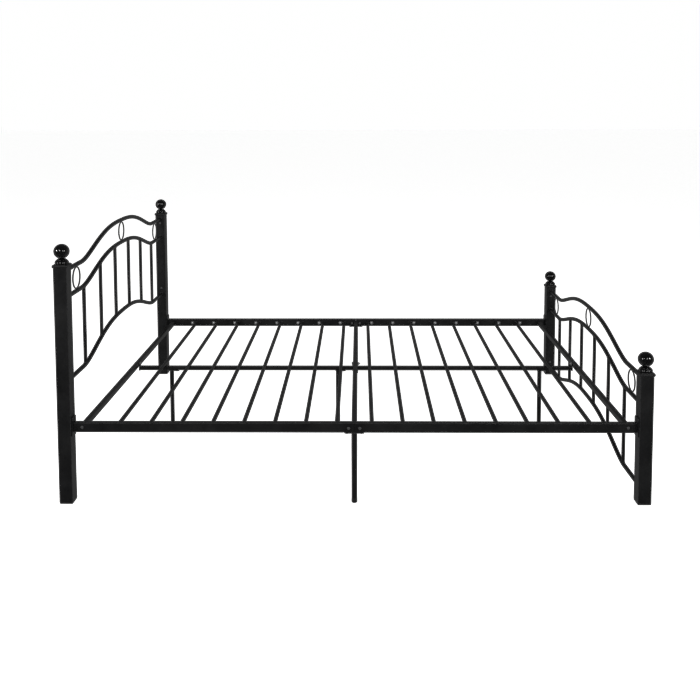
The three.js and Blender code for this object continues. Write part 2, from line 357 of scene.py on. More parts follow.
class Graph:
    """A material's node tree, with short ways to add and join its nodes."""

    def __init__(self, name: str) -> None:
        """Starts a material that holds only a Principled shader and its output."""
        self.material = bpy.data.materials.new(name)
        self.material.use_nodes = True
        self.tree = self.material.node_tree
        self.shader = self.tree.nodes["Principled BSDF"]

    def node(self, kind: str, **settings: object) -> bpy.types.Node:
        """Adds a node and sets its properties.

        Args:
            kind: The node's type name.
            settings: Property names and values.

        Returns:
            The new node.
        """
        made = self.tree.nodes.new(kind)
        for key, value in settings.items():
            setattr(made, key, value)
        return made

    def link(self, source: Socket, target: Socket) -> None:
        """Joins an output to an input."""
        self.tree.links.new(source, target)

    def noise(self, scale: float, detail: float = 2.0, roughness: float = 0.5) -> Socket:
        """Noise over the piece's own coordinates.

        Args:
            scale: Lumps in a metre.
            detail: Octaves.
            roughness: Strength of the finer octaves.

        Returns:
            The noise from 0 to 1.
        """
        place = self.node("ShaderNodeTexCoord")
        made = self.node("ShaderNodeTexNoise")
        made.inputs["Scale"].default_value = scale
        made.inputs["Detail"].default_value = detail
        made.inputs["Roughness"].default_value = roughness
        self.link(place.outputs["Object"], made.inputs["Vector"])
        return made.outputs["Fac"]

    def spread(self, source: Socket, start: float, stop: float, low: float, high: float) -> Socket:
        """Maps a value from one range to another, held to the ends of the second.

        Args:
            source: The value.
            start: Bottom of the first range.
            stop: Top of the first range.
            low: Bottom of the second range.
            high: Top of the second range.

        Returns:
            The mapped value.
        """
        made = self.node("ShaderNodeMapRange")
        for key, value in zip(("From Min", "From Max", "To Min", "To Max"), (start, stop, low, high)):
            made.inputs[key].default_value = value
        self.link(source, made.inputs["Value"])
        return made.outputs["Result"]

    def math(self, operation: str, first: Socket, second: Socket) -> Socket:
        """Joins two values by one operation of arithmetic.

        Args:
            operation: The operation's name.
            first: The first value.
            second: The second value.

        Returns:
            The result.
        """
        made = self.node("ShaderNodeMath", operation=operation)
        self.link(first, made.inputs[0])
        self.link(second, made.inputs[1])
        return made.outputs[0]

    def blend(self, share: Socket, base: Colour | Socket, over: Colour) -> Socket:
        """Mixes a colour over another by a share.

        Args:
            share: How much of the upper colour shows.
            base: The lower colour or its socket.
            over: The upper colour.

        Returns:
            The mixed colour.
        """
        made = self.node("ShaderNodeMix", data_type="RGBA")
        self.link(share, made.inputs[0])
        if isinstance(base, tuple):
            made.inputs[6].default_value = (*base, 1)
        else:
            self.link(base, made.inputs[6])
        made.inputs[7].default_value = (*over, 1)
        return made.outputs[2]

    def relief(self, height: Socket, depth: float, strength: float = 1.0,
               under: Socket | None = None) -> Socket:
        """Raises a bump of a real depth.

        Args:
            height: The height from 0 to 1.
            depth: What 1 is in metres.
            strength: Share of the bump that shows.
            under: The normal of a coarser bump below it.

        Returns:
            The new normal.
        """
        made = self.node("ShaderNodeBump")
        made.inputs["Distance"].default_value = depth
        made.inputs["Strength"].default_value = strength
        self.link(height, made.inputs["Height"])
        if under is not None:
            self.link(under, made.inputs["Normal"])
        return made.outputs["Normal"]


@dataclass(frozen=True)
class Finish:
    """What every finish has: its name, its slot, its colours and its gloss."""

    name: str = "finish"
    slot: Slot = Slot.COAT
    shade: Colour = (0.01, 0.01, 0.01)
    pale_shade: Colour = (0.02, 0.02, 0.02)
    mark_shade: Colour = (0.03, 0.03, 0.03)
    smooth: float = 0.4
    rough: float = 0.5
    specular: float = 0.5
    metallic: float = 0.0

    def material(self) -> bpy.types.Material:
        """The finish's material, made once."""
        known = bpy.data.materials.get(self.name)
        if known is None:
            graph = Graph(self.name)
            graph.shader.inputs["Specular IOR Level"].default_value = self.specular
            graph.shader.inputs["Metallic"].default_value = self.metallic
            self.dress(graph)
            known = graph.material
        return known

    def dress(self, graph: Graph) -> None:
        """Adds the finish's own nodes. Each finish has its own way."""
        raise NotImplementedError


@dataclass(frozen=True)
class PowderCoat(Finish):
    """Satin black powder coat: fine orange peel, faint clouding, and patches of paler colour on the edges,
    partly wear and partly a painted edge highlight.
    """

    name: str = "satin_black_powder_coat"
    shade: Colour = (0.003, 0.003, 0.0032)
    pale_shade: Colour = (0.006, 0.006, 0.0063)
    # Colour of the pale edge patches: partly wear, partly a painted edge highlight.
    mark_shade: Colour = (0.024, 0.024, 0.025)
    smooth: float = 0.36
    rough: float = 0.5
    specular: float = 0.3
    cloud_scale: float = 9.0
    scuff_scale: float = 95.0
    peel_scale: float = 620.0
    peel_depth: float = 0.00005

    def dress(self, graph: Graph) -> None:
        """Clouds the colour, paints patches of paler colour on the edges, partly wear and partly a painted
        highlight, and raises the orange peel.
        """
        cloud = graph.noise(self.cloud_scale, 4.0, 0.6)
        scuff = graph.noise(self.scuff_scale, 3.0, 0.65)
        edge = graph.node("ShaderNodeAttribute", attribute_name=WEAR_AND_SHEEN_ATTRIBUTE)
        patchy = graph.math("MULTIPLY", edge.outputs["Fac"], graph.spread(scuff, 0.42, 0.68, 0.25, 1.0))
        base = graph.blend(graph.spread(cloud, 0.3, 0.7, 0.0, 1.0), self.shade, self.pale_shade)
        # Paler edges: partly edge wear, partly a painted edge highlight.
        colour = graph.blend(patchy, base, self.mark_shade)
        graph.link(colour, graph.shader.inputs["Base Color"])
        gloss = graph.math("ADD", graph.spread(cloud, 0.3, 0.7, self.smooth, self.rough),
                           graph.spread(scuff, 0.5, 0.75, -0.03, 0.07))
        graph.link(gloss, graph.shader.inputs["Roughness"])
        peel = graph.noise(self.peel_scale, 2.0, 0.45)
        wave = graph.relief(graph.noise(self.scuff_scale, 1.0), 2.5 * self.peel_depth, 0.5)
        graph.link(graph.relief(peel, self.peel_depth, 0.8, wave), graph.shader.inputs["Normal"])


@dataclass(frozen=True)
class MouldedPlastic(Finish):
    """Matt black moulded plastic with a fine spark-eroded grain."""

    name: str = "moulded_black_plastic"
    slot: Slot = Slot.PLASTIC
    shade: Colour = (0.003, 0.003, 0.0032)
    pale_shade: Colour = (0.006, 0.006, 0.0063)
    # Colour of the paler grain on the edges: partly wear, partly a painted highlight.
    mark_shade: Colour = (0.018, 0.018, 0.019)
    smooth: float = 0.4
    rough: float = 0.52
    specular: float = 0.3
    flow_scale: float = 22.0
    grain_scale: float = 1500.0
    grain_depth: float = 0.00004

    def dress(self, graph: Graph) -> None:
        """Mottles the colour with the flow of the moulding and raises its grain."""
        flow = graph.noise(self.flow_scale, 3.0)
        grain = graph.noise(self.grain_scale, 2.0, 0.6)
        edge = graph.node("ShaderNodeAttribute", attribute_name=WEAR_AND_SHEEN_ATTRIBUTE)
        base = graph.blend(graph.spread(flow, 0.3, 0.7, 0.0, 1.0), self.shade, self.pale_shade)
        # Paler grain on the edges and on the cap's lip: partly wear, partly a painted highlight.
        colour = graph.blend(graph.math("MULTIPLY", edge.outputs["Fac"], grain), base, self.mark_shade)
        graph.link(colour, graph.shader.inputs["Base Color"])
        graph.link(graph.spread(flow, 0.3, 0.7, self.smooth, self.rough), graph.shader.inputs["Roughness"])
        graph.link(graph.relief(grain, self.grain_depth, 0.7), graph.shader.inputs["Normal"])


@dataclass(frozen=True)
class GlossLacquer(Finish):
    """Polished black lacquer on a turned finial, with a soft ripple and a little dust in it."""

    name: str = "gloss_black_lacquer"
    slot: Slot = Slot.GLOSS
    shade: Colour = (0.0012, 0.0012, 0.0013)
    pale_shade: Colour = (0.0025, 0.0025, 0.0027)
    mark_shade: Colour = (0.02, 0.02, 0.02)
    smooth: float = 0.06
    rough: float = 0.12
    specular: float = 0.9
    ripple_scale: float = 60.0
    ripple_depth: float = 0.00004
    dust_scale: float = 850.0

    def dress(self, graph: Graph) -> None:
        """Lets dust dull the lacquer in specks and raises its ripple."""
        haze = graph.noise(self.ripple_scale, 3.0)
        dust = graph.noise(self.dust_scale, 1.0)
        specks = graph.spread(dust, 0.7, 0.78, 0.0, 0.6)
        base = graph.blend(graph.spread(haze, 0.3, 0.7, 0.0, 1.0), self.shade, self.pale_shade)
        graph.link(graph.blend(specks, base, self.mark_shade), graph.shader.inputs["Base Color"])
        dull = graph.math("ADD", graph.spread(haze, 0.3, 0.7, self.smooth, self.rough), specks)
        graph.link(dull, graph.shader.inputs["Roughness"])
        graph.link(graph.relief(haze, self.ripple_depth, 0.6), graph.shader.inputs["Normal"])


@dataclass(frozen=True)
class ZincPlate(Finish):
    """Zinc plate on a screw or bolt, blotched by its passivation."""

    name: str = "bright_zinc_plate"
    slot: Slot = Slot.ZINC
    shade: Colour = (0.56, 0.565, 0.57)
    pale_shade: Colour = (0.7, 0.705, 0.71)
    mark_shade: Colour = (0.24, 0.24, 0.24)
    smooth: float = 0.4
    rough: float = 0.6
    metallic: float = 0.3
    blotch_scale: float = 420.0
    grain_scale: float = 2600.0
    grain_depth: float = 0.00002

    def dress(self, graph: Graph) -> None:
        """Blotches the colour and the gloss, and raises a fine crystal grain."""
        blotch = graph.noise(self.blotch_scale, 3.0)
        grain = graph.noise(self.grain_scale, 2.0)
        share = graph.spread(blotch, 0.35, 0.65, 0.0, 1.0)
        base = graph.blend(share, self.shade, self.pale_shade)
        colour = graph.blend(graph.spread(grain, 0.6, 0.75, 0.0, 0.5), base, self.mark_shade)
        graph.link(colour, graph.shader.inputs["Base Color"])
        dull = graph.spread(blotch, 0.35, 0.65, self.smooth, self.rough)
        graph.link(dull, graph.shader.inputs["Roughness"])
        graph.link(graph.relief(grain, self.grain_depth, 0.6), graph.shader.inputs["Normal"])


COAT = PowderCoat()
PLASTIC = MouldedPlastic()
GLOSS = GlossLacquer()
ZINC = ZincPlate()
DULL_ZINC = ZincPlate(name="dull_zinc_plate", shade=(0.08, 0.08, 0.083), pale_shade=(0.15, 0.15, 0.155),
                      mark_shade=(0.04, 0.04, 0.04), smooth=0.38, rough=0.6)


# ---- Fasteners and welds ---------------------------------------------------------------------------


@dataclass
class PanScrew:
    """A pan-head screw with a cross recess. Its face is a dome less the depth of the cross."""

    radius: float = 0.0068
    height: float = 0.0028
    washer: float = 0.0006
    slot_half: float = 0.0009
    slot_reach: float = 0.0032
    slot_depth: float = 0.0014
    sides: int = 32
    rings: int = 9

    def shell(self, seat: Sequence[float], run: Run, sense: int) -> Shell:
        """The head of one screw.

        The rings run out from the middle to the rim at radius r, where the height is that of the
        dome, h(1 - (r/R)^4) over the washer face, less the recess. The recess is deepest where the
        smaller of |x| and |y| is under the slot's half width and fades to nothing at its reach.

        Args:
            seat: Middle of the face that the screw sits on.
            run: Direction of the screw's axis.
            sense: 1 if the head faces along the run, -1 if against it.

        Returns:
            The closed head.
        """
        angle = np.linspace(0, 2 * np.pi, self.sides, endpoint=False)
        share = np.linspace(1, 0, self.rings, endpoint=False)
        radius = self.radius * share[:, None]
        x, y = radius * np.cos(angle), radius * np.sin(angle)
        dome = self.washer + (self.height - self.washer) * (1 - share[:, None] ** 4)
        narrow = np.minimum(np.abs(x), np.abs(y))
        across = np.clip((1.5 * self.slot_half - narrow) / self.slot_half, 0, 1)
        inward = np.clip((self.slot_reach - radius) / (0.35 * self.slot_reach), 0, 1)
        face = np.stack([x, y, dome - self.slot_depth * across * inward], -1)
        rim = face[:1] * np.array([1, 1, 0])
        foot = rim * np.array([0.98, 0.98, 1]) - np.array([0, 0, 0.0002])
        loops = np.concatenate([foot, rim, face])
        centre = placed(np.array([0, 0, self.height - self.slot_depth]), run, seat, sense)
        return skin(placed(loops, run, seat, sense), poles=(None, centre))


@dataclass
class ButtonBolt:
    """A button-head bolt with a hexagon socket."""

    radius: float = 0.0049
    height: float = 0.003
    socket: float = 0.0021
    socket_depth: float = 0.0018
    sides: int = 36

    def shell(self, seat: Sequence[float], run: Run, sense: int) -> Shell:
        """The head of one bolt.

        Each ring of the dome is a circle until the socket, whose rings are hexagons: the radius at
        angle a is the across-flats half width divided by the cosine of a measured from the nearest
        flat's middle.

        Args:
            seat: Middle of the face that the bolt sits on.
            run: Direction of the bolt's axis.
            sense: 1 if the head faces along the run, -1 if against it.

        Returns:
            The closed head.
        """
        angle = np.linspace(0, 2 * np.pi, self.sides, endpoint=False)
        sector = np.pi / 3
        hexagon = 1 / np.cos((angle + sector / 2) % sector - sector / 2)
        share = np.array([0.97, 1.0, 0.98, 0.9, 0.76, 0.6])
        lift = np.array([-0.0002, 0.0004, 0.0009, 0.0019, 0.0026, self.height])
        ring = np.ones_like(angle)
        radii = np.concatenate([self.radius * share[:, None] * ring,
                                self.socket * np.array([1.06, 1.0, 0.98])[:, None] * hexagon])
        heights = np.concatenate([lift, [self.height, self.height - 0.0002, self.height - self.socket_depth]])
        loops = np.stack([radii * np.cos(angle), radii * np.sin(angle),
                          np.broadcast_to(heights[:, None], radii.shape)], -1)
        return skin(placed(loops, run, seat, sense))


@dataclass
class HexNut:
    """A hexagon nut with the end of its bolt standing through it."""

    flat_half: float = 0.005
    height: float = 0.004
    thread_radius: float = 0.003
    thread_proud: float = 0.003
    pitch: float = 0.001
    sides: int = 36

    def shells(self, seat: Sequence[float], run: Run, sense: int) -> list[Shell]:
        """One nut and its bolt's end.

        The nut's loops are hexagons, drawn to a circle at the top by the chamfer. The thread's radius
        rises and falls once in each pitch.

        Args:
            seat: Middle of the face that the nut sits on.
            run: Direction of the nut's axis.
            sense: 1 if it faces along the run, -1 if against it.

        Returns:
            The closed nut and thread.
        """
        angle = np.linspace(0, 2 * np.pi, self.sides, endpoint=False)
        sector = np.pi / 3
        hexagon = self.flat_half / np.cos((angle + sector / 2) % sector - sector / 2)
        circle = np.full_like(hexagon, self.flat_half)
        top = self.height
        chamfer = np.minimum(hexagon, 1.07 * circle)
        radii = np.stack([0.98 * hexagon, hexagon, hexagon, chamfer, 0.96 * circle])
        heights = np.array([0, 0.0002, top - 0.0009, top - 0.0003, top])
        loops = np.stack([radii * np.cos(angle), radii * np.sin(angle),
                          np.broadcast_to(heights[:, None], radii.shape)], -1)
        rise = np.arange(0, self.height + self.thread_proud, self.pitch / 4)
        wave = self.thread_radius + 0.12 * self.pitch * np.cos(2 * np.pi * rise / self.pitch)
        wave[-1] = 0.8 * self.thread_radius
        return [skin(placed(loops, run, seat, sense)),
                turned(np.stack([wave, rise], -1), 16, run, seat, sense)]


@dataclass
class WeldBead:
    """A small rippled fillet of weld round a joint."""

    radius: float = 0.0016
    ripple: float = 0.14
    ripples: int = 18
    points: int = 54
    sides: int = 8

    def round_rod(self, centre: Sequence[float], rod_radius: float, tube_radius: float, slope: float,
                  sense: int) -> Shell:
        """A bead round an upright rod where it meets a tube that runs across the bed.

        The bead's path circles the rod, and its height follows the tube's flank: at angle a it is the
        tube's axis, plus the slope times the distance along it, less sense times the root of the
        tube's radius squared minus the square of the distance beside it.

        Args:
            centre: The point of the tube's axis that the rod points to.
            rod_radius: Radius of the rod.
            tube_radius: Radius of the tube.
            slope: Rise of the tube for each metre across the bed.
            sense: 1 for a rod that reaches up to the tube, -1 for one that stands on it.

        Returns:
            The closed bead.
        """
        a = np.linspace(0, 2 * np.pi, self.points, endpoint=False)
        x, y = rod_radius * np.cos(a), rod_radius * np.sin(a)
        flank = np.sqrt(np.maximum(tube_radius ** 2 - x ** 2, 0)) * np.sqrt(1 + slope ** 2)
        path = np.array(centre) + np.stack([x, y, slope * y - sense * flank], -1)
        return self.along(path, np.stack([np.cos(a), np.sin(a), np.zeros_like(a)], -1))

    def round_end(self, centre: Sequence[float], rod_radius: float, run: Run, sense: int) -> Shell:
        """A bead round the end of a rod that meets a flat face square on.

        The path is the rod's own circle on the face.

        Args:
            centre: Middle of the rod's end.
            rod_radius: Radius of the rod.
            run: Direction of the rod.
            sense: 1 if the rod leaves the face along the run, -1 if against it.

        Returns:
            The closed bead.
        """
        a = np.linspace(0, 2 * np.pi, self.points, endpoint=False)
        local = np.stack([np.cos(a), np.sin(a), np.zeros_like(a)], -1)
        out = placed(local, run, (0, 0, 0), sense)
        return self.along(np.array(centre) + rod_radius * out, out)

    def along(self, path: Array, out: Array) -> Shell:
        """Carries the rippled round section of the bead along a closed path.

        Each loop is the path point plus r((cos b) O + (sin b) U), where O points away from the rod
        and U is O crossed with the path's direction. r rises and falls with each ripple.

        Args:
            path: Points of the closed path.
            out: Unit directions away from the rod.

        Returns:
            The closed bead.
        """
        forward = np.roll(path, -1, 0) - np.roll(path, 1, 0)
        forward /= np.linalg.norm(forward, axis=1, keepdims=True)
        up = np.cross(forward, out)
        up /= np.linalg.norm(up, axis=1, keepdims=True)
        a = np.linspace(0, 2 * np.pi, len(path), endpoint=False)
        radius = self.radius * (1 + self.ripple * np.sin(self.ripples * a))
        b = np.linspace(0, 2 * np.pi, self.sides, endpoint=False)[None, :, None]
        section = np.cos(b) * out[:, None] + np.sin(b) * up[:, None]
        return skin(path[:, None] + radius[:, None, None] * section, joined=True)


# ---- Corner posts ----------------------------------------------------------------------------------


@dataclass
class CornerPost:
    """A square tube post with its foot plug, moulded cap and ball finial."""

    end: End
    side: Side
    corner: float = 0.0025
    plug_height: float = 0.006
    plug_inset: float = 0.0006
    plug_round: float = 0.003
    cap_skirt: float = 0.0012
    lip: float = 0.0044
    ball_rise: float = 0.0257
    neck: float = 0.0097
    dish: float = 0.0239
    dish_tuck: float = 0.0016
    dish_full: float = 0.0047
    turned_sides: int = 56

    def build(self) -> None:
        """Makes and dresses every piece of the corner."""
        self.tag = f"{self.end.word}_{self.side.word}"
        self.low, self.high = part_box(f"post_{self.tag}")
        self.width = self.high.x - self.low.x
        self.x = (self.low.x + self.high.x) / 2
        self.y = (self.low.y + self.high.y) / 2
        piece(f"post_tube_{self.tag}", [self.tube()], COAT, f"post_{self.tag}")
        piece(f"foot_plug_{self.tag}", [self.plug()], PLASTIC)
        piece(f"post_lid_{self.tag}", [self.lid()], PLASTIC, f"cap_{self.tag}")
        piece(f"turned_finial_{self.tag}", [self.finial()], GLOSS, f"finial_{self.tag}")

    def tube(self) -> Shell:
        """The square tube, from its foot plug up into the cap."""
        foot = self.plug_height
        return square_bar(self.width, self.width, self.corner, self.high.z - foot, 0.0005, Run.UP,
                          (self.x, self.y, foot))

    def plug(self) -> Shell:
        """The foot plug: a rounded square whose lower edge rolls under.

        As t goes from 0 to a right angle the height is r(1 - cos t) and the inset r(1 - sin t).
        """
        t = np.linspace(0, np.pi / 2, 6)
        top = self.plug_height
        step = [top - 0.0012, top - 0.0004, top + 0.0006]
        height = np.concatenate([[0], self.plug_round * (1 - np.cos(t)), step])
        inset = np.concatenate([[0.006], self.plug_round * (1 - np.sin(t)), [0, 0.0005, 0.0012]])
        inset += self.plug_inset
        radius = np.maximum(self.corner - 0.3 * inset, 0.001)
        loops, edge_wear_sheen = square_loops(self.width - 2 * inset, self.width - 2 * inset, radius, height)
        # The plug's corners are drawn a little paler: partly wear, partly a painted highlight.
        return skin(placed(loops, Run.UP, (self.x, self.y, 0)), 0.4 * edge_wear_sheen)

    def lid(self) -> Shell:
        """The cap: a skirt, a full rolled lip that overhangs the post, a step, and a faintly crowned top.

        The lip's section is a squared half circle: its height is centre - r cos t, and its inset is the
        overhang times (1 - sin t) to a power.
        """
        low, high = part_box(f"cap_{self.tag}")
        side, top = high.x - low.x, high.z
        base = self.high.z + 0.0001
        overhang = (side - self.width) / 2
        t = np.linspace(0.1, np.pi - 0.1, 13)
        bulge = self.lip * (1 - np.cos(t)) + base + self.cap_skirt
        crown = bulge[-1] + (top - bulge[-1]) * np.array([0.02, 0.12, 0.5, 0.78, 0.9, 0.96, 1.0])
        height = np.concatenate([[base, base, base + 0.0003, base + self.cap_skirt], bulge, crown])
        inset = np.concatenate([
            [0.007, overhang + 0.0003, overhang - 0.0004, overhang - 0.0006],
            overhang * 0.8 * (1 - np.sin(t)) ** 1.5,
            [0.0031, 0.0035, 0.0037, 0.0042, 0.0054, 0.008, 0.014]])
        radius = np.maximum(self.corner + 0.003 - 0.5 * inset, 0.0012)
        loops, edge_wear_sheen = square_loops(side - 2 * inset, side - 2 * inset, radius, height, steps=5)
        band = np.zeros(len(height))
        band[4:4 + len(t)] = np.sin(t)
        # Paler lip bulge and corners: partly wear, partly a painted highlight.
        wear_and_sheen = 0.5 * edge_wear_sheen * band[:, None] + 0.3 * band[:, None]
        return skin(placed(loops, Run.UP, (self.x, self.y, 0)), wear_and_sheen)

    def finial(self) -> Shell:
        """The turned finial: a dish with a full edge, a domed shoulder, a neck and a ball.

        The dish's edge is a quarter ellipse. The shoulder's radius falls to the neck as a power of the
        cosine of its share of the height. The ball is a little flattened: its ring at angle t from the
        bottom has radius R sin t and height centre - V cos t.
        """
        low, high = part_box(f"finial_{self.tag}")
        base, centre = low.z, high.z - self.ball_rise
        wide = (high.x - low.x) / 2
        start = np.arcsin(self.neck / wide)
        edge_t = np.linspace(0, np.pi / 2, 7)
        edge = np.stack([self.dish - self.dish_tuck * (1 - np.sin(edge_t)),
                         base + self.dish_full * (1 - np.cos(edge_t))], -1)
        share = np.linspace(0, 1, 16)[1:-1]
        foot = base + self.dish_full
        top = centre - self.ball_rise * np.cos(start)
        shoulder = np.stack([self.neck + (self.dish - self.neck) * np.cos(np.pi / 2 * share) ** 1.13,
                             foot + (top - foot) * share], -1)
        arc = np.linspace(start, np.pi, 32)[:-1]
        globe = np.stack([wide * np.sin(arc), centre - self.ball_rise * np.cos(arc)], -1)
        return turned(np.vstack([edge, shoulder, globe]), self.turned_sides, Run.UP, (self.x, self.y, 0))


# ---- Headboard and footboard -----------------------------------------------------------------------


@dataclass
class ArchedPanel:
    """Three bent tubes with upright spindles between two of them and wire rings between the others."""

    end: End
    rise: float = 0.09
    half_span: float = 0.56
    crown_power: float = 2.6
    foot_power: float = 1.8
    tube_steps: int = 150
    tube_sides: int = 20
    wire: float = 0.002
    ring_weld: float = 0.0026
    ring_places: tuple[float, float, float] = (-0.622, 0.0, 0.622)
    spindles: int = 6
    screw_lifts: dict[End, tuple[float, float]] = field(
        default_factory=lambda: {End.HEAD: (0.822, 0.472), End.FOOT: (0.427, 0.068)})

    def build(self) -> None:
        """Makes and dresses every piece of the panel."""
        word = self.end.word
        low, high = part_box(f"{word}_arch_bottom")
        self.radius = (high.x - low.x) / 2
        self.x = (low.x + high.x) / 2
        self.reach = high.y + TOUCH
        self.bases = {level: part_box(f"{word}_arch_{level}")[0].z + self.radius
                      for level in ("bottom", "middle", "top")}
        for level, base in self.bases.items():
            piece(f"bent_tube_{word}_{level}", [self.tube(base)], COAT, f"{word}_arch_{level}")
        self.spindle_places: list[tuple[float, float]] = []
        for number in range(1, self.spindles + 1):
            self.spindle(number)
        for name, y in zip(("right", "centre", "left"), self.ring_places):
            piece(f"wire_ring_{word}_{name}", [self.ring(y)], COAT)
        piece(f"panel_welds_{word}", self.welds(), COAT)
        piece(f"panel_screws_{word}", self.screws(), DULL_ZINC)

    def lift(self, y: Array | float) -> Array:
        """Height of an arch above its flat ends: rise(1 - u^p)^q, with u the share of the half span."""
        u = np.minimum(np.abs(y) / self.half_span, 1)
        return self.rise * (1 - u ** self.crown_power) ** self.foot_power

    def slope(self, y: float) -> float:
        """Rise of an arch for each metre across the bed at a place."""
        step = 0.001
        return float((self.lift(y + step) - self.lift(y - step)) / (2 * step))

    def tube(self, base: float) -> Shell:
        """One bent tube, carried along its arch."""
        y = np.linspace(-self.reach, self.reach, self.tube_steps)
        path = np.stack([np.full_like(y, self.x), y, base + self.lift(y)], -1)
        return piped(path, self.radius, (1, 0, 0), self.tube_sides)

    def ring(self, y: float) -> Shell:
        """A wire ring: a circle of wire that stands on the middle tube and reaches the top one."""
        low = self.bases["middle"] + float(self.lift(y)) + self.radius
        high = self.bases["top"] + float(self.lift(y)) - self.radius
        size = (high - low) / 2 - self.wire + 0.0004
        t = np.linspace(0, 2 * np.pi, 64, endpoint=False)
        middle = (low + high) / 2
        path = np.stack([np.full_like(t, self.x), y + size * np.cos(t), middle + size * np.sin(t)], -1)
        return piped(path, self.wire, (1, 0, 0), 10, joined=True)

    def spindle(self, number: int) -> None:
        """One upright spindle, coped at both ends to the tubes.

        Its radius is constant, and at angle a its ends lie on the tubes' flanks: the tube's axis plus
        or less the root of the tube's radius squared minus the square of the distance beside it.

        Args:
            number: The spindle's number, counted from the right side.
        """
        name = f"{self.end.word}_spindle_{number}"
        low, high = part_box(name)
        radius = (high.y - low.y) / 2
        y = (low.y + high.y) / 2
        a = np.linspace(0, 2 * np.pi, 24, endpoint=False)
        px, py = radius * np.cos(a), radius * np.sin(a)
        flank = np.sqrt(self.radius ** 2 - px ** 2) - TOUCH
        lift = self.lift(y + py)
        foot = self.bases["bottom"] + lift + flank
        head = self.bases["middle"] + lift - flank
        share = np.concatenate([[0], np.linspace(0.02, 0.98, 9), [1]])[:, None]
        z = foot + (head - foot) * share
        loops = np.stack([np.broadcast_to(self.x + px, z.shape), np.broadcast_to(y + py, z.shape), z], -1)
        self.spindle_places.append((y, radius))
        piece(f"spindle_rod_{self.end.word}_{number}", [skin(loops)], COAT, name)

    def welds(self) -> list[Shell]:
        """The weld beads of the panel: spindles to tubes, rings to tubes, and tubes to posts."""
        bead, dab = WeldBead(), WeldBead(radius=0.0013, ripples=8, points=30)
        made = []
        for y, radius in self.spindle_places:
            for level, sense in (("bottom", -1), ("middle", 1)):
                axis = (self.x, y, self.bases[level] + float(self.lift(y)))
                made.append(bead.round_rod(axis, radius, self.radius, self.slope(y), sense))
        for y in self.ring_places:
            for level, sense in (("middle", -1), ("top", 1)):
                axis = (self.x, y, self.bases[level] + float(self.lift(y)))
                made.append(dab.round_rod(axis, self.ring_weld, self.radius, self.slope(y), sense))
        for base in self.bases.values():
            for side in (-1, 1):
                made.append(bead.round_end((self.x, side * (self.reach - 0.0006), base), self.radius,
                                           Run.ACROSS, -side))
        return made

    def screws(self) -> list[Shell]:
        """The small screws on the posts' inner faces, one above or below each outer tube's end."""
        screw = PanScrew(radius=0.0045, height=0.0022, slot_reach=0.0024, slot_half=0.0007, slot_depth=0.001)
        return [screw.shell((self.x, side * (self.reach - 0.0001), z), Run.ACROSS, -side)
                for side in (-1, 1) for z in self.screw_lifts[self.end]]


# ---- Side rails ------------------------------------------------------------------------------------


